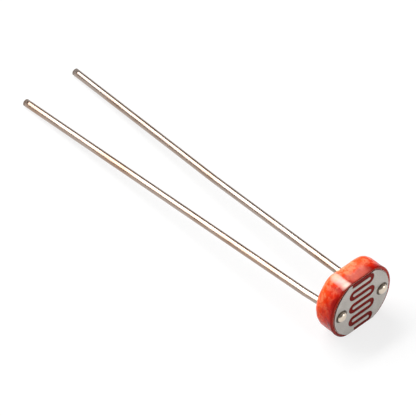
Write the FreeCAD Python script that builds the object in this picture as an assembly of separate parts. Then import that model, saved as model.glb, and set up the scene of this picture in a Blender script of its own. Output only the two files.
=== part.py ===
"""A 5 mm photoresistor: a ceramic disc with a light-sensitive face, two tinned leads and a resin case.

Millimetres. X runs along the two flats of the body, the light-sensitive face looks along -Y, and Z is up.
The part lies on the lower flat of its case and on the ends of its leads, at Z = 0. The origin is the middle of
that flat's level part, between the rounded front rim and the start of the domed back.
"""
import FreeCAD, Part
import math
import os

from FreeCAD import Vector

# The resin case, a disc with two flats
CASE_WIDTH = 5.0
CASE_HEIGHT = 4.3
CASE_DEPTH = 1.7
CASE_CORNER_R = 0.42
CASE_RIM_R = 0.09
RIM_SECTIONS = 4
DOME_DEPTH = 0.6
DOME_INSET = 0.7
DOME_SECTIONS = 8
END_WALL = 0.19
FLAT_WALL = 0.1
COLLAR_R = 0.5
COLLAR_SEAT = 0.3
COLLAR_LENGTH = 0.14
COLLAR_LIP = 0.02

# The ceramic disc inside it
CERAMIC_DEPTH = 1.0
LEAD_HOLE_CLEARANCE = 0.03

# The two films on the face
CDS_DEPTH = 0.04
CDS_MARGIN = 0.02
METAL_DEPTH = 0.02
METAL_MARGIN = 0.04

# The bare track that winds between the two metal films
TRACK_WIDTH = 0.3
TRACK_RUNS = 8
TRACK_PITCH = 0.54
TRACK_REACH = 1.07
TRACK_END_REACH = 0.98
TRACK_START_X = -0.86
TRACK_FINISH_X = -0.58

# The leads, each one wire with a head formed on it
WIRE_R = 0.25
LEAD_PITCH = 3.4
LEAD_LENGTH = 26.5
HEAD_R = 0.34
HEAD_EDGE = 0.06
HEAD_HEIGHT = 0.24
BEND_R = 1.0
LEFT_JOG_START = 0.2
LEFT_JOG_X = -1.76
LEFT_JOG_END = 1.2
LEFT_JOG_DROP = 0.14
LEFT_END_X = -1.74
RIGHT_JOG_START = 0.08
RIGHT_JOG_X = 0.96
RIGHT_JOG_END = 1.0
RIGHT_JOG_DROP = 0.165
RIGHT_MIDDLE_X = 1.51
RIGHT_MIDDLE_SHARE = 0.45
RIGHT_END_X = 2.48

# The solder that joins each head to its film
SOLDER_R = 0.45
SOLDER_HEIGHT = 0.06

# Places that follow from the sizes above
CENTRE_Z = CASE_HEIGHT / 2
FRONT_Y = -(CASE_RIM_R + CASE_DEPTH - DOME_DEPTH) / 2
BACK_Y = FRONT_Y + CASE_DEPTH
CDS_Y = FRONT_Y - CDS_DEPTH
METAL_Y = CDS_Y - METAL_DEPTH
LEAD_X = LEAD_PITCH / 2
LEAD_HOLE_R = WIRE_R + LEAD_HOLE_CLEARANCE
FORWARD = Vector(0, -1, 0)
BACKWARD = Vector(0, 1, 0)


def outline(half_width, half_height, corner_r, y):
    """The body's outline at one depth: round ends, flats above and below, and rounded or sharp corners."""
    def at(x, z):
        return Vector(x, y, CENTRE_Z + z)

    corner_x = math.sqrt((half_width - corner_r) ** 2 - (half_height - corner_r) ** 2)
    corner_z = half_height - corner_r
    turn = math.atan2(corner_z, corner_x)
    end_x = half_width * math.cos(turn)
    end_z = half_width * math.sin(turn)
    half_turn = (turn + math.pi / 2) / 2
    mid_x = corner_x + corner_r * math.cos(half_turn)
    mid_z = corner_z + corner_r * math.sin(half_turn)
    edges = []
    for side in (1, -1):
        edges.append(Part.LineSegment(at(-side * corner_x, side * half_height),
                                      at(side * corner_x, side * half_height)))
        if corner_r:
            edges.append(Part.Arc(at(side * corner_x, side * half_height), at(side * mid_x, side * mid_z),
                                  at(side * end_x, side * end_z)))
        edges.append(Part.Arc(at(side * end_x, side * end_z), at(side * half_width, 0),
                              at(side * end_x, -side * end_z)))
        if corner_r:
            edges.append(Part.Arc(at(side * end_x, -side * end_z), at(side * mid_x, -side * mid_z),
                                  at(side * corner_x, -side * half_height)))
    return Part.Wire([edge.toShape() for edge in edges])


def disc(margin, y_front, depth):
    """A sharp-cornered disc with flats, smaller than the ceramic by the margin all round."""
    wire = outline(CASE_WIDTH / 2 - END_WALL - margin, CASE_HEIGHT / 2 - FLAT_WALL - margin, 0, y_front)
    return Part.Face(wire).extrude(Vector(0, depth, 0))


def lead_holes(y_front, depth):
    """The two round holes that the leads pass through."""
    holes = [Part.makeCylinder(LEAD_HOLE_R, depth, Vector(x, y_front, CENTRE_Z), BACKWARD)
             for x in (-LEAD_X, LEAD_X)]
    return Part.makeCompound(holes)


def ceramic_base():
    return disc(0, FRONT_Y, CERAMIC_DEPTH).cut(lead_holes(FRONT_Y, CERAMIC_DEPTH))


def cds_layer():
    return disc(CDS_MARGIN, CDS_Y, CDS_DEPTH).cut(lead_holes(CDS_Y, CDS_DEPTH))


def track_box(x_low, x_high, z_low, z_high):
    corner = Vector(x_low, METAL_Y, CENTRE_Z + z_low)
    return Part.makeBox(x_high - x_low, METAL_DEPTH, z_high - z_low, corner)


def track_turn(x, z, side):
    """A half ring that joins two neighbouring runs at their right or left ends."""
    centre = Vector(x, METAL_Y, CENTRE_Z + z)
    ring = Part.makeCylinder(TRACK_PITCH / 2 + TRACK_WIDTH / 2, METAL_DEPTH, centre, BACKWARD)
    ring = ring.cut(Part.makeCylinder(TRACK_PITCH / 2 - TRACK_WIDTH / 2, METAL_DEPTH, centre, BACKWARD))
    low = min(x, x + side * TRACK_PITCH)
    half = track_box(low, low + TRACK_PITCH, z - TRACK_PITCH, z + TRACK_PITCH)
    return ring.common(half)


def track():
    """The winding gap: level runs joined by turns, with a tail to the edge of the face at each end."""
    turn_out = TRACK_PITCH / 2 + TRACK_WIDTH / 2
    heights = [(TRACK_RUNS - 1 - 2 * run) * TRACK_PITCH / 2 for run in range(TRACK_RUNS)]
    left = [TRACK_START_X] + [None] * (TRACK_RUNS - 1)
    right = [None] * TRACK_RUNS
    pieces = []
    for turn in range(TRACK_RUNS - 1):
        side = 1 if turn % 2 == 0 else -1
        reach = TRACK_END_REACH if turn in (0, TRACK_RUNS - 2) else TRACK_REACH
        x = side * (reach - turn_out)
        pieces.append(track_turn(x, (heights[turn] + heights[turn + 1]) / 2, side))
        ends = right if side == 1 else left
        ends[turn] = x
        ends[turn + 1] = x
    finish = side * TRACK_FINISH_X
    finish_inner = finish + side * TRACK_WIDTH
    ends = left if side == 1 else right
    ends[-1] = finish
    for run, z in enumerate(heights):
        pieces.append(track_box(left[run], right[run], z - TRACK_WIDTH / 2, z + TRACK_WIDTH / 2))
    past_edge = CASE_HEIGHT
    pieces.append(track_box(TRACK_START_X, TRACK_START_X + TRACK_WIDTH, heights[0], past_edge))
    pieces.append(track_box(min(finish, finish_inner), max(finish, finish_inner), -past_edge, heights[-1]))
    return pieces[0].multiFuse(pieces[1:]).removeSplitter()


def electrodes():
    """The metal film, cut in two by the track. Each half holds one lead."""
    film = disc(METAL_MARGIN, METAL_Y, METAL_DEPTH)
    film = film.cut(lead_holes(METAL_Y, METAL_DEPTH)).cut(track())
    halves = sorted(film.Solids, key=lambda solid: solid.CenterOfMass.x)
    return halves[0], halves[-1]


def rounded_path(points, radius):
    """Straight runs through the points, with a tangent arc of the radius at each inner point."""
    edges = []
    start = points[0]
    for before, corner, after in zip(points, points[1:], points[2:]):
        back = (before - corner).normalize()
        ahead = (after - corner).normalize()
        half_turn = (math.pi - back.getAngle(ahead)) / 2
        setback = radius * math.tan(half_turn)
        entry = corner + back * setback
        leave = corner + ahead * setback
        middle = (back + ahead).normalize()
        crown = corner + middle * (radius / math.cos(half_turn) - radius)
        edges.append(Part.LineSegment(start, entry).toShape())
        edges.append(Part.Arc(entry, crown, leave).toShape())
        start = leave
    edges.append(Part.LineSegment(start, points[-1]).toShape())
    return Part.Wire(edges)


def head(x):
    """The head that closes the front end of a lead: a low edge with a round crown."""
    def at(out, forward):
        return Vector(x + out, METAL_Y - forward, CENTRE_Z)

    rise = HEAD_HEIGHT - HEAD_EDGE
    crown_r = (HEAD_R ** 2 + rise ** 2) / (2 * rise)
    half_sweep = math.asin(HEAD_R / crown_r) / 2
    shoulder = at(crown_r * math.sin(half_sweep), HEAD_HEIGHT - crown_r * (1 - math.cos(half_sweep)))
    profile = [
        Part.LineSegment(at(0, 0), at(HEAD_R, 0)),
        Part.LineSegment(at(HEAD_R, 0), at(HEAD_R, HEAD_EDGE)),
        Part.Arc(at(HEAD_R, HEAD_EDGE), shoulder, at(0, HEAD_HEIGHT)),
        Part.LineSegment(at(0, HEAD_HEIGHT), at(0, 0)),
    ]
    face = Part.Face(Part.Wire([line.toShape() for line in profile]))
    return face.revolve(at(0, 0), BACKWARD, 360)


def lead(points):
    """One wire along its route, with its head."""
    path = rounded_path(points, BEND_R)
    section = Part.Wire(Part.makeCircle(WIRE_R, points[0], BACKWARD))
    wire = path.makePipeShell([section], True, False)
    return wire.fuse(head(points[0].x)).removeSplitter()


def end_point(x, drop_start_y):
    """The far end of a lead, whose lower edge touches Z = 0."""
    end_y = BACK_Y + LEAD_LENGTH
    slope = math.atan2(CENTRE_Z - WIRE_R, end_y - drop_start_y)
    return Vector(x, end_y, WIRE_R * math.cos(slope))


def left_route():
    jog_start_y = FRONT_Y + CERAMIC_DEPTH + LEFT_JOG_START
    jog_end_y = BACK_Y + LEFT_JOG_END
    jog_end = Vector(LEFT_JOG_X, jog_end_y, CENTRE_Z - LEFT_JOG_DROP)
    return [Vector(-LEAD_X, METAL_Y, CENTRE_Z), Vector(-LEAD_X, jog_start_y, CENTRE_Z), jog_end,
            end_point(LEFT_END_X, jog_end_y)]


def right_route():
    jog_start_y = FRONT_Y + CERAMIC_DEPTH + RIGHT_JOG_START
    jog_end_y = BACK_Y + RIGHT_JOG_END
    jog_end = Vector(RIGHT_JOG_X, jog_end_y, CENTRE_Z - RIGHT_JOG_DROP)
    end = end_point(RIGHT_END_X, jog_end_y)
    middle = jog_end + (end - jog_end) * RIGHT_MIDDLE_SHARE
    middle.x = RIGHT_MIDDLE_X
    return [Vector(LEAD_X, METAL_Y, CENTRE_Z), Vector(LEAD_X, jog_start_y, CENTRE_Z), jog_end, middle, end]


def solder(x):
    """A low cone of solder round a head, on the metal film."""
    cone = Part.makeCone(SOLDER_R, HEAD_R, SOLDER_HEIGHT, Vector(x, METAL_Y, CENTRE_Z), FORWARD)
    bore = Part.makeCylinder(HEAD_R, SOLDER_HEIGHT, Vector(x, METAL_Y, CENTRE_Z), FORWARD)
    return cone.cut(bore)


def case_profile():
    """How far the side is set in at each depth: a rounded front rim, a straight side and a domed back."""
    steps = []
    for step in range(RIM_SECTIONS):
        angle = math.pi / 2 * step / (RIM_SECTIONS - 1)
        steps.append((CASE_RIM_R * (1 - math.sin(angle)), FRONT_Y + CASE_RIM_R * (1 - math.cos(angle))))
    for step in range(DOME_SECTIONS):
        angle = math.pi / 2 * step / (DOME_SECTIONS - 1)
        steps.append((DOME_INSET * (1 - math.cos(angle)), BACK_Y - DOME_DEPTH * (1 - math.sin(angle))))
    return steps


def collar(route):
    """Resin that has crept a little way out along a lead, as a cone on the lead's own line."""
    inside, outside = route[1], route[2]
    ahead = (outside - inside).normalize()
    seat = inside + ahead * ((BACK_Y - COLLAR_SEAT - inside.y) / ahead.y)
    return Part.makeCone(COLLAR_R, WIRE_R + COLLAR_LIP, COLLAR_SEAT + COLLAR_LENGTH, seat, ahead)


def resin_case(leads, routes):
    """The case round the disc and its leads. The disc fills it up to the face."""
    sections = [outline(CASE_WIDTH / 2 - inset, CASE_HEIGHT / 2 - inset, CASE_CORNER_R, y)
                for inset, y in case_profile()]
    body = Part.makeLoft(sections, True, True)
    body = body.multiFuse([collar(route) for route in routes])
    body = body.cut(disc(0, FRONT_Y, CERAMIC_DEPTH))
    for wire in leads:
        body = body.cut(wire)
    return body


def build():
    routes = [left_route(), right_route()]
    leads = [lead(route) for route in routes]
    electrode_left, electrode_right = electrodes()
    return {
        "ceramic_base": ceramic_base(),
        "cds_layer": cds_layer(),
        "electrode_left": electrode_left,
        "electrode_right": electrode_right,
        "lead_left": leads[0],
        "lead_right": leads[1],
        "solder_left": solder(-LEAD_X),
        "solder_right": solder(LEAD_X),
        "resin_case": resin_case(leads, routes),
    }


os.makedirs("parts", exist_ok=True)
for name, shape in build().items():
    box = shape.BoundBox
    print(name, shape.isValid(), len(shape.Solids), "solids", round(shape.Volume, 4), "mm3",
          [round(v, 3) for v in (box.XMin, box.XMax, box.YMin, box.YMax, box.ZMin, box.ZMax)])
    shape.exportStep("parts/" + name + ".step")
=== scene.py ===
# %% [markdown]
# # A 5 mm photoresistor, piece by piece
#
# A photoresistor is a small ceramic disc with a dark, light-sensitive film on its face. A grey metal
# film lies over that, cut in two by a winding gap, and one tinned lead is soldered to each half. A
# glossy red-orange resin holds the whole of it and leaves the face bare. The scene dresses the
# packed model: the thin films, the disc and the winding gap keep their own solids, and the resin,
# the leads and the solder get finer meshes of the same forms.

# %% Load the packed model
import math

import bmesh
import bpy
from mathutils import Matrix, Vector, noise


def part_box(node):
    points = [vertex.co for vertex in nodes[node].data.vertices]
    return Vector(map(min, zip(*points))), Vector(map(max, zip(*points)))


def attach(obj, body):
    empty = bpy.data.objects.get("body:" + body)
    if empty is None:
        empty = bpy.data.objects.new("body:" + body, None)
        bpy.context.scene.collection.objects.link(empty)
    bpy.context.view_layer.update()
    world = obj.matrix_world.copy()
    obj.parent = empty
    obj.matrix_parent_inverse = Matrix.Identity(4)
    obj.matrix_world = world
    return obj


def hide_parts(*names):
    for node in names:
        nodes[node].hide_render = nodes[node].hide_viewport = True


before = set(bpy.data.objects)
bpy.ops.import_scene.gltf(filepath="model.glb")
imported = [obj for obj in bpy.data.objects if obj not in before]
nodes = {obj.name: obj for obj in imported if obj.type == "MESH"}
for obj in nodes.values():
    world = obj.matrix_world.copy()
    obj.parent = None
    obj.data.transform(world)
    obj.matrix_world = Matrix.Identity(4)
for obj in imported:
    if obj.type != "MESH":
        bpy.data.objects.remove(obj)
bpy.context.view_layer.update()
MM = 0.001


print("solids:", sorted(nodes))

# %% [markdown]
# The places come from the solids' own boxes, so each new piece fits the packed model. Everything is
# in millimetres, because a part this small is easier to read that way. The face looks along -Y. Its
# middle is the middle of the ceramic disc, and the films stand one on the other in front of it.

# %% Read the main places from the solids


def box_mm(node):
    low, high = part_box(node)
    return low / MM, high / MM


case_low, case_high = box_mm("resin_case")
disc_low, disc_high = box_mm("ceramic_base")
film_low, _ = box_mm("electrode_left")
solder_low, solder_high = box_mm("solder_left")

CENTRE_Z = (case_low.z + case_high.z) / 2
FRONT_Y = disc_low.y
FILM_Y = film_low.y
HALF_WIDTH = (case_high.x - case_low.x) / 2
HALF_HEIGHT = (case_high.z - case_low.z) / 2
DISC_HALF_WIDTH = (disc_high.x - disc_low.x) / 2
DISC_HALF_HEIGHT = (disc_high.z - disc_low.z) / 2
LEAD_X = -(solder_low.x + solder_high.x) / 2
print("case half width and height:", round(HALF_WIDTH, 3), round(HALF_HEIGHT, 3))
print("disc half width and height:", round(DISC_HALF_WIDTH, 3), round(DISC_HALF_HEIGHT, 3))
print("leads at x:", round(-LEAD_X, 3), round(LEAD_X, 3))

# %% [markdown]
# Each new piece is made in millimetres, and this helper turns it into an object: it scales the mesh
# down to metres, keeps the object itself at the origin, and lets it ride on the part's one body in
# place of the solid it stands for. The object could be scaled instead, but then the patterns, which
# read the object's own coordinates, would have one scale on the new pieces and another on the
# solids.

# %% A helper that turns a bmesh into a piece of the part


def make_piece(name, bm, material, stands_for):
    bmesh.ops.recalc_face_normals(bm, faces=bm.faces)
    bmesh.ops.scale(bm, vec=(MM, MM, MM), verts=bm.verts)
    mesh = bpy.data.meshes.new(name)
    bm.to_mesh(mesh)
    bm.free()
    mesh.shade_smooth()
    mesh.materials.append(material)
    piece = bpy.data.objects.new(name, mesh)
    bpy.context.scene.collection.objects.link(piece)
    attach(piece, "root")
    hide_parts(*stands_for)
    print(name, "has", len(mesh.polygons), "faces")


# %% [markdown]
# ## Finishes
#
# A finish is a network of small nodes that ends in one Principled shader. It could be drawn in the
# node editor, but in a script it reads best when each node is one short call, so these helpers come
# first. A network serves a material or the world.

# %% Short ways to add nodes


class Network:
    """A node tree, and short ways to add nodes to it."""

    def __init__(self, tree):
        self.tree = tree

    def add(self, kind, **settings):
        node = self.tree.nodes.new(kind)
        for key, value in settings.items():
            setattr(node, key, value)
        return node

    def feed(self, socket, value):
        """Links a node's output to a socket, or sets the socket to a number or a colour."""
        if isinstance(value, bpy.types.NodeSocket):
            self.tree.links.new(value, socket)
        else:
            socket.default_value = value

    def combine(self, operation, first, second=0.0):
        """Works out one number from one or two."""
        node = self.add("ShaderNodeMath", operation=operation)
        self.feed(node.inputs[0], first)
        self.feed(node.inputs[1], second)
        return node.outputs[0]

    def remap(self, value, start, end, at_start=0.0, at_end=1.0):
        """Takes start..end to at_start..at_end in proportion, and holds the value beyond both ends."""
        node = self.add("ShaderNodeMapRange")
        self.feed(node.inputs["Value"], value)
        self.feed(node.inputs["From Min"], start)
        self.feed(node.inputs["From Max"], end)
        self.feed(node.inputs["To Min"], at_start)
        self.feed(node.inputs["To Max"], at_end)
        return node.outputs["Result"]

    def mix_shaders(self, share, first, second):
        node = self.add("ShaderNodeMixShader")
        for socket, output in zip(node.inputs, (share, first, second)):
            self.feed(socket, output)
        return node.outputs[0]


print("nodes are added by:", [name for name in vars(Network) if not name.startswith("_")])

# %% [markdown]
# A material's network adds colours, patterns and bump. The patterns read Object coordinates, so they
# stay on the piece, and the coordinates are scaled to millimetres first, so every size in a finish
# is a real one.

# %% A finish


class Finish(Network):
    """A material with a Principled shader. Settings are sockets of the shader, with _ for a space."""

    def __init__(self, name, **settings):
        self.material = bpy.data.materials.new(name)
        self.material.use_nodes = True
        super().__init__(self.material.node_tree)
        self.shader = self.tree.nodes["Principled BSDF"]
        for socket, value in settings.items():
            self.shader.inputs[socket.replace("_", " ")].default_value = value
        coordinates = self.add("ShaderNodeTexCoord")
        scaled = self.add("ShaderNodeVectorMath", operation="SCALE")
        self.feed(scaled.inputs[0], coordinates.outputs["Object"])
        self.feed(scaled.inputs["Scale"], 1 / MM)
        self.place = scaled.outputs[0]

    def axis(self, name):
        """The place along X, Y or Z, in millimetres."""
        split = self.add("ShaderNodeSeparateXYZ")
        self.feed(split.inputs[0], self.place)
        return split.outputs[name]

    def grain(self, scale, detail, roughness=0.55, stretch=None):
        """Noise with about scale features to the millimetre; stretch draws it out along an axis."""
        texture = self.add("ShaderNodeTexNoise")
        self.feed(texture.inputs["Scale"], scale)
        self.feed(texture.inputs["Detail"], detail)
        self.feed(texture.inputs["Roughness"], roughness)
        source = self.place
        if stretch:
            drawn = self.add("ShaderNodeVectorMath", operation="MULTIPLY")
            self.feed(drawn.inputs[0], source)
            self.feed(drawn.inputs[1], stretch)
            source = drawn.outputs[0]
        self.feed(texture.inputs["Vector"], source)
        return texture.outputs["Fac"]

    def ramp(self, value, *stops):
        """A colour for each value from 0 to 1; a stop is (value, colour)."""
        node = self.add("ShaderNodeValToRGB")
        elements = node.color_ramp.elements
        while len(elements) < len(stops):
            elements.new(0.5)
        for element, (position, colour) in zip(elements, stops):
            element.position = position
            element.color = (*colour, 1)
        self.feed(node.inputs["Fac"], value)
        return node.outputs["Color"]

    def mix(self, share, first, second, blend="MIX"):
        """Mixes two colours by a share; each is a colour or another node's output."""
        node = self.add("ShaderNodeMix", data_type="RGBA", blend_type=blend)
        self.feed(node.inputs["Factor"], share)
        for socket, colour in ((node.inputs[6], first), (node.inputs[7], second)):
            self.feed(socket, (*colour, 1) if isinstance(colour, tuple) else colour)
        return node.outputs[2]

    def tint(self, colour, by):
        return self.mix(1.0, colour, by, "MULTIPLY")

    def drive(self, socket, output):
        """Links an output to a socket of the shader."""
        self.feed(self.shader.inputs[socket], output)

    def bump(self, height, depth_mm, strength):
        node = self.add("ShaderNodeBump")
        self.feed(node.inputs["Height"], height)
        self.feed(node.inputs["Distance"], depth_mm * MM)
        self.feed(node.inputs["Strength"], strength)
        self.drive("Normal", node.outputs["Normal"])


WHITE = (1.0, 1.0, 1.0)
print("a finish adds:", [name for name in vars(Finish) if not name.startswith("_")])

# %% [markdown]
# ### The resin
#
# The real case is a coat of dipped red-orange resin, a tenth of a millimetre thick on the flats, two
# tenths on the round ends and seven at the back. It is glossy and lets a little light in. Its colours
# mix the resin's own orange with painted light. On the thin flats a painted reflection makes a
# pinkish band beside the face, and a painted highlight makes a still paler corner at the left. On the
# round ends painted shade makes the same band a deep red, where the disc keeps light out of the thin
# resin. The thick back is lighter with a painted glow and painted glints, and painted shade makes the
# whole coat deeper red low down.
#
# A clear surface over a coloured volume could show all this, but it is slow and grainy, and an export
# loses it. So the depth is painted: colours along the depth of the part, broken up by soft noise and
# mixed by the place on the case. A little Subsurface softens the light. A full mirror image of the
# white studio would wash the red out, so the Specular IOR Level is low.

# %% The bands of colour from the face to the back
BAND_DEPTH = 2.0
PATCH_SHIFT = 0.7


def resin_bands(resin, patches):
    """The share of the way back from the face, and the colour there on an end and on a flat."""
    shift = resin.remap(patches, 0.0, 1.0, -PATCH_SHIFT, PATCH_SHIFT)
    depth = resin.combine("ADD", resin.axis("Y"), shift)
    share = resin.remap(depth, FRONT_Y, FRONT_Y + BAND_DEPTH)
    # The end colours start with painted shade near the face and end with a painted glow at the back. The
    # flat colours start with a painted pinkish reflection and end with a painted highlight on the
    # shoulder.
    end = resin.ramp(share, (0.0, (0.26, 0.002, 0.0)), (0.16, (0.47, 0.005, 0.0)),
                     (0.34, (0.75, 0.027, 0.001)), (0.55, (0.87, 0.068, 0.002)),
                     (0.9, (0.88, 0.19, 0.075)))
    flat = resin.ramp(share, (0.0, (0.50, 0.09, 0.065)), (0.3, (0.70, 0.13, 0.09)),
                      (0.42, (0.98, 0.075, 0.02)), (0.6, (1.0, 0.11, 0.02)),
                      (0.85, (1.0, 0.27, 0.14)))
    return share, end, flat


print("the bands reach", BAND_DEPTH, "mm back, and patches move them by up to", PATCH_SHIFT, "mm")

# %% [markdown]
# The painted reflection of the pinkish band is only on the flats, the painted highlight of the palest
# stripe crosses their left corner, and painted shade makes the rim beside the face a narrow dark red.
# A painted mask or vertex colours could place them.
# Here each place is a share from 0 to 1 that is worked out from the coordinates, so it has real sizes
# and no image: it fades from the first millimetre value of its pair to the second.

# %% Where the flats, the painted corner highlight and the painted rim shade are
PAINTED_CORNER_HIGHLIGHT = (1.0, 0.66, 0.58)
RIM_PAINTED_SHADE = (0.44, 0.02, 0.004)
BELOW_FLAT = (0.2, 0.05)
FROM_MIDDLE = (0.95, 0.45)
CORNER_X = (-0.82, -0.97)
CORNER_SHARE = 0.95
RIM_DEPTH = 0.05


def paint_places(resin, patches, end, flat):
    """The colour of the coat, from its colours on an end and on a flat."""
    height = resin.combine("ABSOLUTE", resin.combine("SUBTRACT", resin.axis("Z"), CENTRE_Z))
    high = resin.remap(height, *[HALF_HEIGHT - below for below in BELOW_FLAT])
    middle = resin.remap(resin.combine("ABSOLUTE", resin.axis("X")), *FROM_MIDDLE)
    coat = resin.mix(resin.combine("MULTIPLY", high, middle), end, flat)
    # The pale left corner is a painted highlight, where the lamps' gloss runs along the edge.
    left = resin.remap(resin.axis("X"), *CORNER_X, 0.0, CORNER_SHARE)
    corner = resin.combine("MULTIPLY", high, left)
    corner = resin.combine("MULTIPLY", corner, resin.remap(patches, 0.3, 0.6, 0.6, 1.0))
    coat = resin.mix(corner, coat, PAINTED_CORNER_HIGHLIGHT)
    # The dark red rim is painted shade, as in the gap between the face and the resin.
    rim = resin.remap(resin.axis("Y"), FRONT_Y + RIM_DEPTH, FRONT_Y)
    return resin.mix(rim, coat, RIM_PAINTED_SHADE)


print("the pale corner starts at x =", CORNER_X[0], "mm, and the rim is", RIM_DEPTH, "mm deep")

# %% [markdown]
# The pale patches on the resin are painted glints of a slightly uneven surface. They could be
# modelled as bubbles under the surface, but they are too soft and small for that, so they are a finer
# noise in the colour. They fade out towards the face and towards the ground, where painted shade tints
# the whole coat a deeper red.

# %% The resin's finish
PAINTED_GLINT = (1.0, 0.43, 0.22)


def resin_finish():
    resin = Finish("case_resin", IOR=1.5, Specular_IOR_Level=0.1, Subsurface_Weight=0.1,
                   Subsurface_Scale=0.3 * MM, Subsurface_Radius=(1.0, 0.15, 0.04))
    patches = resin.grain(1.6, detail=5, roughness=0.6)
    share, end, flat = resin_bands(resin, patches)
    coat = paint_places(resin, patches, end, flat)
    level = resin.remap(resin.axis("Z"), case_low.z, case_high.z)
    # Painted glints: pale patches that fade towards the ground and the face, where less light falls.
    cloud = resin.remap(resin.grain(2.7, detail=5, roughness=0.6), 0.46, 0.62, 0.0, 0.55)
    cloud = resin.combine("MULTIPLY", cloud, resin.remap(level, 0.4, 0.88, 0.1, 1.0))
    cloud = resin.combine("MULTIPLY", cloud, resin.remap(share, 0.1, 0.5))
    coat = resin.mix(cloud, coat, PAINTED_GLINT)
    # Painted shade: the coat gets darker and redder towards the ground, below the lit top.
    painted_low_shade = resin.ramp(level, (0.15, (0.52, 0.3, 0.2)), (0.6, (0.86, 0.86, 0.86)), (0.85, WHITE))
    resin.drive("Base Color", resin.tint(coat, painted_low_shade))
    resin.drive("Roughness", resin.remap(resin.grain(3.0, detail=4), 0.35, 0.7, 0.16, 0.34))
    resin.bump(resin.grain(2.6, detail=4), 0.035, 0.9)
    return resin.material


finishes = {"resin": resin_finish()}
print("resin:", len(finishes["resin"].node_tree.nodes), "nodes")

# %% [markdown]
# ### The flat layers
#
# The metal film is printed and fired on, so it is a matt grey with a fine grain. The light-sensitive
# film is a dark red-brown with a fine crystal grain, and hardly shines. The disc is white alumina. A
# plain colour would do from far off, but close up each needs a soft pattern in its colour and a fine
# grain in its bump.

# %% The finishes of the flat layers


def film_finish():
    film = Finish("electrode_film", Metallic=0.55)
    cloud = film.ramp(film.grain(1.5, detail=4),
                      (0.3, (0.52, 0.485, 0.445)), (0.7, (0.62, 0.585, 0.545)))
    speck = film.remap(film.grain(26, detail=2), 0.42, 0.6, 0.78, 1.0)
    film.drive("Base Color", film.tint(cloud, speck))
    film.drive("Roughness", film.remap(film.grain(14, detail=3), 0.3, 0.7, 0.38, 0.6))
    film.bump(film.grain(30, detail=2), 0.004, 0.6)
    return film.material


def cds_finish():
    cds = Finish("photoconductor", Specular_IOR_Level=0.05)
    crystals = cds.ramp(cds.grain(18, detail=4), (0.3, (0.12, 0.003, 0.001)),
                        (0.55, (0.21, 0.005, 0.002)), (0.75, (0.30, 0.010, 0.004)))
    cds.drive("Base Color", crystals)
    cds.drive("Roughness", cds.remap(cds.grain(9, detail=2), 0.3, 0.7, 0.3, 0.55))
    cds.bump(cds.grain(22, detail=3), 0.008, 0.7)
    return cds.material


def ceramic_finish():
    ceramic = Finish("alumina", Roughness=0.6)
    cloud = ceramic.ramp(ceramic.grain(8, detail=4),
                         (0.3, (0.66, 0.62, 0.55)), (0.7, (0.8, 0.77, 0.7)))
    ceramic.drive("Base Color", cloud)
    ceramic.bump(ceramic.grain(30, detail=2), 0.006, 0.6)
    return ceramic.material


finishes.update(film=film_finish(), cds=cds_finish(), ceramic=ceramic_finish())
print("finishes so far:", sorted(finishes))

# %% [markdown]
# ### The wire and the solder
#
# The wire is drawn through a die and tinned, so its marks run along it. The shader's Anisotropic
# value could spread its gloss that way, but an export may lose it, and noise that is drawn out along
# Y is enough, because both leads run nearly along Y. Tarnish dulls the wires and warms the left one a
# little more, and the heads on the face are cleaner and paler. The solder round them is dull and dark,
# and its near-black tone is also painted shade for the dark ring round each head.

# %% The finishes of the wire and the solder
HEAD_TIN = (0.70, 0.60, 0.49)


def wire_finish():
    wire = Finish("tinned_wire", Metallic=1.0)
    drawn = wire.grain(9, detail=4, stretch=(1.0, 0.05, 1.0))
    tone = wire.ramp(drawn, (0.3, (0.34, 0.265, 0.22)), (0.7, (0.44, 0.365, 0.32)))
    stain = wire.ramp(wire.grain(0.35, detail=3), (0.45, WHITE), (0.7, (0.95, 0.8, 0.68)))
    to_the_right = wire.remap(wire.axis("X"), -0.5, 0.5)
    warm = wire.ramp(to_the_right, (0.0, (1.0, 0.965, 0.94)), (1.0, WHITE))
    on_the_head = wire.remap(wire.axis("Y"), FILM_Y - 0.001, FILM_Y - 0.03)
    tarnished = wire.tint(wire.tint(tone, stain), warm)
    wire.drive("Base Color", wire.mix(on_the_head, tarnished, HEAD_TIN))
    gloss = wire.grain(6, detail=3, stretch=(1.0, 0.1, 1.0))
    wire.drive("Roughness", wire.remap(gloss, 0.3, 0.75, 0.16, 0.30))
    wire.bump(drawn, 0.002, 0.2)
    return wire.material


def solder_finish():
    solder = Finish("solder", Metallic=0.8)
    # The near-black tone is partly the solder's dull colour and partly painted shade for the dark ring
    # round each head.
    tone = solder.ramp(solder.grain(10, detail=4),
                       (0.3, (0.05, 0.036, 0.024)), (0.7, (0.13, 0.105, 0.08)))
    solder.drive("Base Color", tone)
    solder.drive("Roughness", solder.remap(solder.grain(12, detail=2), 0.3, 0.7, 0.28, 0.5))
    solder.bump(solder.grain(14, detail=3), 0.006, 0.6)
    return solder.material


finishes.update(wire=wire_finish(), solder=solder_finish())
print("all finishes:", sorted(finishes))

# %% [markdown]
# ## The disc and its films
#
# The disc and its two films are flat and sharp-edged on the real part too. New meshes of them would
# add nothing, so their solids stay and only get their finishes.

# %% Dress the solids that stay


def dress(node, material):
    mesh = nodes[node].data
    mesh.materials.clear()
    mesh.materials.append(material)
    print(node, "is dressed in", material.name)


dress("ceramic_base", finishes["ceramic"])
dress("cds_layer", finishes["cds"])
dress("electrode_left", finishes["film"])
dress("electrode_right", finishes["film"])

# %% [markdown]
# ## The resin case
#
# The case is a shell of resin round the disc: a circle with two flats and softened corners, seen
# from the front. It could be a cylinder that is cut by two planes and then bevelled, but the bevels
# of the corners and of the back would have to meet in one soft surface. So one ring of points is set
# to the outline and extruded again and again: up the wall of the hollow that the disc sits in, over
# the front rim, along the sides, over the domed back and in to its middle. The dipped corners are a
# little rounder than the solid's, and so lie a hair inside it.

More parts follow.
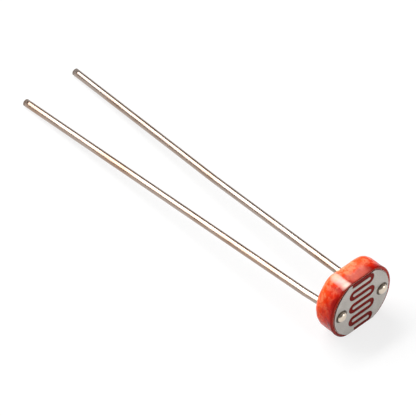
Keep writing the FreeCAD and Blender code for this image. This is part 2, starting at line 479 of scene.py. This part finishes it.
# %% The outline of the case
CORNER_R = 1.1


def outline_reach(x, z, half_width, half_height, corner):
    """How far the outline lies from the centre in the direction x, z."""
    x, z = abs(x), abs(z)
    corner_z = half_height - corner
    corner_x = math.sqrt((half_width - corner) ** 2 - corner_z ** 2)
    if math.atan2(z, x) <= math.atan2(corner_z, corner_x):
        return half_width
    if math.atan2(z, x) >= math.atan2(half_height, corner_x):
        return half_height / z
    along = x * corner_x + z * corner_z
    return along + math.sqrt(along ** 2 - corner_x ** 2 - corner_z ** 2 + corner ** 2)


for degrees in (0, 45, 60, 90):
    x, z = math.cos(math.radians(degrees)), math.sin(math.radians(degrees))
    reach = outline_reach(x, z, HALF_WIDTH, HALF_HEIGHT, CORNER_R)
    print("reach at", degrees, "degrees:", round(reach, 3))

# %% [markdown]
# A ring is a loop of edges at one depth. Extruding it where it stands gives a new ring, joined to the
# old one by faces, which is then set to its own depth and outline. Bridging ready-made loops would do
# the same in two steps. The first and the last ring are filled, so the shell is closed.

# %% Rings of points on an outline
RING_POINTS = 240


def extrude_ring(bm, rim):
    """Extrudes a ring of edges where it stands, and returns the new ring's points and edges."""
    grown = bmesh.ops.extrude_edge_only(bm, edges=rim)["geom"]
    verts = [item for item in grown if isinstance(item, bmesh.types.BMVert)]
    fresh = set(verts)
    edges = [item for item in grown
             if isinstance(item, bmesh.types.BMEdge) and all(vert in fresh for vert in item.verts)]
    return verts, edges


def set_ring(verts, y, half_width, half_height, corner):
    """Puts the points of a ring on the outline, each in its own direction from the middle."""
    for vert in verts:
        x, z = vert.co.x, vert.co.z - CENTRE_Z
        length = math.hypot(x, z)
        reach = outline_reach(x / length, z / length, half_width, half_height, corner)
        vert.co = (x / length * reach, y, CENTRE_Z + z / length * reach)


def closed_shell(rings, crisp):
    """A closed solid through rings of (y, half width, half height, corner).

    The first rings, as many as crisp says, keep a sharp edge.
    """
    bm = bmesh.new()
    to_front = Matrix.Translation((0, 0, CENTRE_Z)) @ Matrix.Rotation(math.pi / 2, 4, "X")
    bmesh.ops.create_circle(bm, cap_ends=False, radius=1.0, segments=RING_POINTS, matrix=to_front)
    verts, rim = bm.verts[:], bm.edges[:]
    bmesh.ops.edgeloop_fill(bm, edges=rim)
    for number, ring in enumerate(rings):
        if number > 0:
            verts, rim = extrude_ring(bm, rim)
        set_ring(verts, *ring)
        if number < crisp:
            for edge in rim:
                edge.smooth = False
    bmesh.ops.edgeloop_fill(bm, edges=rim)
    bmesh.ops.recalc_face_normals(bm, faces=bm.faces)
    return bm


print("a ring has", RING_POINTS, "points")

# %% [markdown]
# The hollow has the outline of the disc. The rim is a quarter of a small circle, and the back is a
# quarter of an ellipse that goes on as a flat middle. A Bevel modifier could round both, but rings
# give each its own radius and cover the whole surface with points, which the next steps move.

# %% The rings of the case
RIM_R = 0.09
RIM_STEPS = 6
CASE_DEPTH = 1.7
SIDE_STEPS = 14
DOME_DEPTH = 0.6
DOME_INSET = 0.7
DOME_STEPS = 14
CAP_STEPS = 24
BACK_Y = FRONT_Y + CASE_DEPTH


def quarter_turn(steps):
    """The sine and cosine of angles from 0 to 90 degrees."""
    angles = [math.pi / 2 * step / steps for step in range(steps + 1)]
    return [(math.sin(angle), math.cos(angle)) for angle in angles]


def side_profile():
    """Points (y, inset from the outline) over the rim, along the side and over the dome."""
    points = [(FRONT_Y + RIM_R * (1 - cosine), RIM_R * (1 - sine))
              for sine, cosine in quarter_turn(RIM_STEPS)]
    start, end = FRONT_Y + RIM_R, BACK_Y - DOME_DEPTH
    points += [(start + (end - start) * step / SIDE_STEPS, 0.0) for step in range(1, SIDE_STEPS)]
    points += [(BACK_Y - DOME_DEPTH * (1 - sine), DOME_INSET * (1 - cosine))
               for sine, cosine in quarter_turn(DOME_STEPS)]
    return points


def case_rings():
    rings = [(y, DISC_HALF_WIDTH, DISC_HALF_HEIGHT, 0.0) for y in (disc_high.y, FRONT_Y)]
    rings += [(y, HALF_WIDTH - inset, HALF_HEIGHT - inset, CORNER_R) for y, inset in side_profile()]
    _, cap_width, cap_height, corner = rings[-1]
    for step in range(1, CAP_STEPS):
        size = 1 - step / CAP_STEPS
        rings.append((BACK_Y, cap_width * size, cap_height * size, corner * size))
    return rings


case = closed_shell(case_rings(), crisp=2)
print("case from y", round(FRONT_Y, 3), "to", round(BACK_Y, 3), "in", len(case.faces), "faces")

# %% [markdown]
# ## The leads' routes
#
# Each lead starts at its head, goes through the disc and leaves the back of the case. The right lead
# bends inwards behind the disc and is a little bent half way along, and both slope down until their
# ends lie on the ground. Wire that is bent by hand is straight between its bends, so a route is
# straight runs joined by short arcs, those of the solids. A smooth curve through the same points
# would sway between them.

# %% The routes
WIRE_R = 0.25
LEAD_LENGTH = 26.5
END_Y = BACK_Y + LEAD_LENGTH
LEFT_TURN_Y = disc_high.y + 0.2
LEFT_JOG_END = Vector((-1.76, BACK_Y + 1.2, CENTRE_Z - 0.14))
LEFT_END_X = -1.74
RIGHT_TURN_Y = disc_high.y + 0.08
RIGHT_JOG_END = Vector((0.96, BACK_Y + 1.0, CENTRE_Z - 0.165))
RIGHT_END_X = 2.48
MIDDLE_X = 1.51
MIDDLE_SHARE = 0.45


def far_end(x, turn_y):
    """The end of a lead that slopes down from turn_y until it touches the ground."""
    slope = math.atan2(CENTRE_Z - WIRE_R, END_Y - turn_y)
    return Vector((x, END_Y, WIRE_R * math.cos(slope)))


def left_route():
    head = Vector((-LEAD_X, FILM_Y, CENTRE_Z))
    turn = Vector((-LEAD_X, LEFT_TURN_Y, CENTRE_Z))
    return [head, turn, LEFT_JOG_END, far_end(LEFT_END_X, LEFT_JOG_END.y)]


def right_route():
    head = Vector((LEAD_X, FILM_Y, CENTRE_Z))
    turn = Vector((LEAD_X, RIGHT_TURN_Y, CENTRE_Z))
    end = far_end(RIGHT_END_X, RIGHT_JOG_END.y)
    middle = RIGHT_JOG_END.lerp(end, MIDDLE_SHARE)
    middle.x = MIDDLE_X
    return [head, turn, RIGHT_JOG_END, middle, end]


routes = {"lead_left": left_route(), "lead_right": right_route()}
for name, points in routes.items():
    print(name, "ends at", [round(value, 3) for value in points[-1]])

# %% [markdown]
# The wire's mesh needs places all along its route. They could all lie equally close, but a straight
# run needs only a few, while an arc needs many to look round, so each kind has its own spacing.

# %% Places along a route
BEND_R = 1.0
RUN_SPACING = 0.4
ARC_STEPS = 8


def run_stations(start, end, ahead):
    """Places on a straight run, up to but not at its end."""
    steps = max(1, round((end - start).length / RUN_SPACING))
    return [(start.lerp(end, step / steps), ahead) for step in range(steps)]


def arc_stations(start, ahead, turned):
    """Places on the arc that turns from one direction to the other, up to but not at its end."""
    angle = ahead.angle(turned)
    inward = (turned - ahead * math.cos(angle)) / math.sin(angle)
    places = []
    for step in range(ARC_STEPS):
        turn = angle * step / ARC_STEPS
        place = start + ahead * BEND_R * math.sin(turn) + inward * BEND_R * (1 - math.cos(turn))
        places.append((place, ahead * math.cos(turn) + inward * math.sin(turn)))
    return places


def stations(points):
    """Places along a route, each with the direction there."""
    found = []
    start = points[0]
    for before, corner, after in zip(points, points[1:], points[2:]):
        ahead = (corner - before).normalized()
        turned = (after - corner).normalized()
        setback = BEND_R * math.tan(ahead.angle(turned) / 2)
        arc_start = corner - ahead * setback
        found += run_stations(start, arc_start, ahead)
        found += arc_stations(arc_start, ahead, turned)
        start = corner + turned * setback
    found += run_stations(start, points[-1], turned)
    found.append((points[-1], turned))
    return found


for name, points in routes.items():
    print(name, "has", len(stations(points)), "stations")

# %% [markdown]
# ### Collars and unevenness
#
# Resin creeps a little way out along each lead, as surface tension makes it. A collar could be a
# piece of its own, but the real one is part of the coat, with no seam. So the back of the case is
# drawn outwards near a lead's own line, more and more steeply towards the wire.

# %% Draw the resin out along the leads
COLLAR_R = 0.44
COLLAR_LENGTH = 0.14


def line_distance(place, start, end):
    ahead = (end - start).normalized()
    across = place - start
    return (across - ahead * across.dot(ahead)).length


def draw_out(bm):
    """Draws the resin out along the run that leaves the case, and counts the points that it moves."""
    moved = 0
    for vert in bm.verts:
        if vert.co.y < BACK_Y - DOME_DEPTH:
            continue
        near = min(line_distance(vert.co, points[1], points[2]) for points in routes.values())
        share = min(1.0, (COLLAR_R - near) / (COLLAR_R - WIRE_R))
        if share > 0:
            vert.co.y += COLLAR_LENGTH * share ** 2
            moved += 1
    return moved


print("points drawn out along the leads:", draw_out(case))

# %% [markdown]
# A dipped surface is never quite even. A bump in the finish shows that in its gloss, but leaves the
# outline perfect, so soft noise also sinks the surface itself here and there by a few hundredths of
# a millimetre. It always goes inwards, and stays inside the solid. The rim and the hollow are left
# alone.

# %% Soft unevenness
SINK = 0.06
SINK_FADE = 0.3
BROAD_SCALE = 0.9
BROAD_SHIFT = Vector((3.1, 0.4, 7.7))
FINE_SCALE = 2.4
HAIR = 0.001


def in_hollow(place):
    """Whether a point is on the wall of the hollow that the disc sits in."""
    across = math.hypot(place.x, place.z - CENTRE_Z)
    inside = across <= DISC_HALF_WIDTH + HAIR and abs(place.z - CENTRE_Z) <= DISC_HALF_HEIGHT + HAIR
    return inside and place.y < disc_high.y + 0.01


def uneven(bm):
    """Sinks the outer surface by soft noise, and returns the deepest sink."""
    bm.normal_update()
    deepest = 0.0
    for vert in bm.verts:
        if in_hollow(vert.co):
            continue
        fade = min(1.0, max(0.0, (vert.co.y - FRONT_Y - RIM_R) / SINK_FADE))
        broad = noise.noise(vert.co * BROAD_SCALE + BROAD_SHIFT)
        fine = noise.noise(vert.co * FINE_SCALE)
        depth = max(0.0, SINK * (0.5 + 0.35 * broad + 0.3 * fine)) * fade
        vert.co -= vert.normal * depth
        deepest = max(deepest, depth)
    return deepest


print("deepest sink in mm:", round(uneven(case), 3))
make_piece("resin_shell", case, finishes["resin"], ["resin_case"])

# %% [markdown]
# ## The leads
#
# A lead is one wire with a domed head formed on its end, where it comes through the face. A curve
# with a round bevel could make the wire, and a flattened ball the head, but the real ones are one
# piece of metal. So the head's profile is spun round its axis, and the open ring where it meets the
# wire is extruded along the route.

# %% The profile of a head
HEAD_R = 0.34
HEAD_EDGE = 0.06
HEAD_LIP = 0.02
HEAD_HEIGHT = 0.24
HEAD_STEPS = 10


def head_profile():
    """Points (out, forward) from the top of the crown to the wire."""
    points = [(HEAD_R * sine, HEAD_EDGE + (HEAD_HEIGHT - HEAD_EDGE) * cosine)
              for sine, cosine in quarter_turn(HEAD_STEPS)]
    return points + [(HEAD_R, HEAD_LIP), (HEAD_R - HEAD_LIP, 0.0), (WIRE_R, 0.0)]


print("a head is", 2 * HEAD_R, "mm across and stands", HEAD_HEIGHT, "mm proud")

# %% [markdown]
# Both the heads and the solder are turned shapes, so one helper spins a profile round an axis along
# Y. A Screw modifier would turn them too, but the wire has to grow out of the head's own ring. The
# spin leaves many points in one place on the axis, and they are merged.

# %% Spin a profile
MERGE = 1e-5


def spin_profile(bm, points, centre, steps, closed=False):
    verts = [bm.verts.new((centre.x + out, centre.y - forward, centre.z)) for out, forward in points]
    ends = verts[1:]
    if closed:
        ends.append(verts[0])
    edges = [bm.edges.new(pair) for pair in zip(verts, ends)]
    bmesh.ops.spin(bm, geom=verts + edges, axis=(0, 1, 0), cent=centre, dvec=(0, 0, 0), angle=2 * math.pi,
                   steps=steps, use_merge=True, use_duplicate=False)
    bmesh.ops.remove_doubles(bm, verts=bm.verts, dist=MERGE)


print("points closer than", MERGE, "mm are merged")

# %% [markdown]
# The wire keeps its round section through every bend. So each ring is the last one extruded, turned
# to the next direction and moved to the next place. At the far end the real wire was cut, which left
# a narrow bevel: the last ring is pinched a little and filled.

# %% The leads
WIRE_SEGMENTS = 32
CUT_SHARE = 0.86


def move_ring(bm, rim, before, after):
    """Extrudes a ring of the wire from one station to the next, and returns the new ring."""
    verts, edges = extrude_ring(bm, rim)
    (old_place, old_ahead), (place, ahead) = before, after
    turn = old_ahead.rotation_difference(ahead).to_matrix()
    bmesh.ops.rotate(bm, cent=old_place, matrix=turn, verts=verts)
    bmesh.ops.translate(bm, vec=place - old_place, verts=verts)
    return edges


def close_end(bm, rim, centre):
    """The cut end: a narrow bevel and a flat face."""
    verts, edges = extrude_ring(bm, rim)
    for vert in verts:
        vert.co = centre + (vert.co - centre) * CUT_SHARE
    bmesh.ops.edgeloop_fill(bm, edges=edges)


def lead_mesh(points):
    bm = bmesh.new()
    spin_profile(bm, head_profile(), points[0], WIRE_SEGMENTS)
    rim = [edge for edge in bm.edges if edge.is_boundary]
    places = stations(points)
    for before, after in zip(places, places[1:]):
        rim = move_ring(bm, rim, before, after)
    close_end(bm, rim, points[-1])
    return bm


for name, points in routes.items():
    make_piece(name.replace("lead", "wire"), lead_mesh(points), finishes["wire"], [name])

# %% [markdown]
# ## The solder
#
# Solder wets the film round each head and pulls up to it in a thin hollow curve. A cone would be
# simpler, but its edge would catch the light as a hard line. So a short curved profile is spun round
# the head's axis. It runs a hair into the head, so no gap shows between them.

# %% The solder round each head
SOLDER_R = 0.45
SOLDER_OVERLAP = 0.01
SOLDER_INNER_R = HEAD_R - SOLDER_OVERLAP
SOLDER_HEIGHT = 0.06
SOLDER_STEPS = 6
SOLDER_SEGMENTS = 48


def solder_profile():
    """Points (out, forward) up the hollow curve and down inside the head."""
    points = []
    for step in range(SOLDER_STEPS + 1):
        share = step / SOLDER_STEPS
        points.append((SOLDER_R - (SOLDER_R - SOLDER_INNER_R) * share, SOLDER_HEIGHT * share ** 2))
    return points + [(SOLDER_INNER_R, 0.0)]


for side, x in (("left", -LEAD_X), ("right", LEAD_X)):
    ring = bmesh.new()
    spin_profile(ring, solder_profile(), Vector((x, FILM_Y, CENTRE_Z)), SOLDER_SEGMENTS, closed=True)
    make_piece("solder_ring_" + side, ring, finishes["solder"], ["solder_" + side])

# %% [markdown]
# ## The studio
#
# The photograph has a pure white ground with hardly a shadow. Stronger lamps would whiten the floor,
# but they would bleach the part as well. So the floor is a pale matt sheet that glows only for what
# the camera and reflections see, and the object's own light stays plain. From below it is clear, so
# that the part can be looked at from there too.

# %% The floor
FLOOR_HALF = 600 * MM
FLOOR_GLOW = 0.8


def seen_rays(network, mirrored=1.0):
    """1 for what the camera sees, mirrored for what shiny things show, and 0 for the object's light."""
    rays = network.add("ShaderNodeLightPath").outputs
    in_things = network.combine("MAXIMUM", rays["Is Glossy Ray"], rays["Is Transmission Ray"])
    in_things = network.combine("MULTIPLY", in_things, mirrored)
    return network.combine("MAXIMUM", rays["Is Camera Ray"], in_things)


def floor_finish():
    sheet = Finish("floor_sheet", Base_Color=(0.9, 0.9, 0.9, 1), Roughness=0.9,
                   Specular_IOR_Level=0.0)
    glow = sheet.add("ShaderNodeEmission").outputs[0]
    share = sheet.combine("MULTIPLY", seen_rays(sheet), FLOOR_GLOW)
    lit = sheet.mix_shaders(share, sheet.shader.outputs[0], glow)
    from_below = sheet.add("ShaderNodeNewGeometry").outputs["Backfacing"]
    clear = sheet.add("ShaderNodeBsdfTransparent").outputs[0]
    surface = sheet.tree.nodes["Material Output"].inputs["Surface"]
    sheet.feed(surface, sheet.mix_shaders(from_below, lit, clear))
    return sheet.material


def make_floor():
    bm = bmesh.new()
    bmesh.ops.create_grid(bm, x_segments=1, y_segments=1, size=FLOOR_HALF)
    mesh = bpy.data.meshes.new("floor")
    bm.to_mesh(mesh)
    bm.free()
    mesh.materials.append(floor_finish())
    floor = bpy.data.objects.new("floor", mesh)
    bpy.context.scene.collection.objects.link(floor)


make_floor()
print("the floor is", 2 * FLOOR_HALF, "m across")

# %% [markdown]
# The world is a weak even light, so the shadows aren't black. Metal mirrors it, and an all-white
# world would make the wires look like white plastic. So only its lowest part, where a studio's white
# sweep ends, is white in reflections, and the wires get their dark edges from the rest. A sky image
# would do this too, but two plain colours and the height of a direction need no file.

# %% The world
WORLD_LIGHT = 0.2
# How high a direction points, from 0 along the ground to 1 straight up, where the white fades out.
SWEEP_TOP = (0.1, 0.2)


def make_world():
    world = bpy.data.worlds.new("studio")
    bpy.context.scene.world = world
    world.use_nodes = True
    sky = Network(world.node_tree)
    plain = sky.tree.nodes["Background"]
    white = sky.add("ShaderNodeBackground")
    for background, strength in ((plain, WORLD_LIGHT), (white, 1.0)):
        background.inputs["Color"].default_value = (1, 1, 1, 1)
        background.inputs["Strength"].default_value = strength
    direction = sky.add("ShaderNodeSeparateXYZ")
    sky.feed(direction.inputs[0], sky.add("ShaderNodeTexCoord").outputs["Generated"])
    low = sky.remap(direction.outputs["Z"], *SWEEP_TOP, 1.0, 0.0)
    lit = sky.mix_shaders(seen_rays(sky, low), plain.outputs[0], white.outputs[0])
    sky.feed(sky.tree.nodes["World Output"].inputs["Surface"], lit)


make_world()
print("the world's light:", WORLD_LIGHT)

# %% [markdown]
# Flat lamps are the soft boxes of a studio. A long strip across above the wires makes the pale
# stripe along each of them. A narrower, brighter lamp near it gives the gloss on the corner of the
# case. A third one to the front right lights the face and makes the highlight in each head. One
# large lamp would light the part as well, but three can each be aimed at what they are for.

# %% Lamps


def add_lamp(name, place_mm, aim_mm, width_mm, height_mm, radiance):
    """A flat lamp; its radiance is how bright it looks, where 1 is white."""
    data = bpy.data.lights.new(name, "AREA")
    data.shape = "RECTANGLE"
    data.size = width_mm * MM
    data.size_y = height_mm * MM
    data.energy = radiance * math.pi * data.size * data.size_y
    lamp = bpy.data.objects.new(name, data)
    bpy.context.scene.collection.objects.link(lamp)
    place, aim = Vector(place_mm) * MM, Vector(aim_mm) * MM
    back = (place - aim).normalized()
    across = (Vector((1, 0, 0)) - back * back.x).normalized()
    lamp.location = place
    lamp.rotation_mode = "QUATERNION"
    lamp.rotation_quaternion = Matrix((across, back.cross(across), back)).transposed().to_quaternion()
    print(name, "shines with", round(data.energy, 3), "W")


add_lamp("strip_lamp", (-100, 190, 200), (0, 12, 1), 480, 95, 4.9)
add_lamp("gloss_lamp", (2, 130, 230), (0, 2, 2), 235, 38, 20.0)
add_lamp("front_lamp", (120, -195, 62), (0, 0, 2), 100, 100, 3.4)

# %% [markdown]
# ## The camera
#
# The camera stands where the photograph was taken from, worked out from the two heads, the outline
# and the wires. It looks down at about 45 degrees from the front left, and a long lens frames the
# part alone. A Track To constraint could aim it, but the photograph is also rolled by half a degree,
# so the turn is worked out from three angles.

# %% Camera
CAMERA_PLACE = (-109.46, -101.5, 156.83)
CAMERA_AZIMUTH = -43.807
CAMERA_ELEVATION = 44.679
CAMERA_ROLL = 0.515
CAMERA_LENS = 312.18
CAMERA_SENSOR = 36.0


def camera_turn():
    azimuth, elevation = math.radians(CAMERA_AZIMUTH), math.radians(CAMERA_ELEVATION)
    flat = math.cos(elevation)
    back = Vector((flat * math.sin(azimuth), -flat * math.cos(azimuth), math.sin(elevation)))
    right = Vector((math.cos(azimuth), math.sin(azimuth), 0))
    level = Matrix((right, back.cross(right), back)).transposed()
    return level @ Matrix.Rotation(math.radians(CAMERA_ROLL), 3, "Z")


def make_camera():
    data = bpy.data.cameras.new("camera")
    data.lens = CAMERA_LENS
    data.sensor_width = CAMERA_SENSOR
    data.clip_start = 5 * MM
    data.clip_end = 5.0
    camera = bpy.data.objects.new("camera", data)
    bpy.context.scene.collection.objects.link(camera)
    camera.rotation_mode = "QUATERNION"
    camera.rotation_quaternion = camera_turn().to_quaternion()
    camera.location = Vector(CAMERA_PLACE) * MM
    bpy.context.scene.camera = camera


make_camera()
bpy.context.scene.view_settings.view_transform = "Standard"
print("the camera stands", round(Vector(CAMERA_PLACE).length), "mm from the origin")

# %% [markdown]
# The dressed part has to keep the size of the solids. It could be measured by eye in a render, but
# numbers are surer.
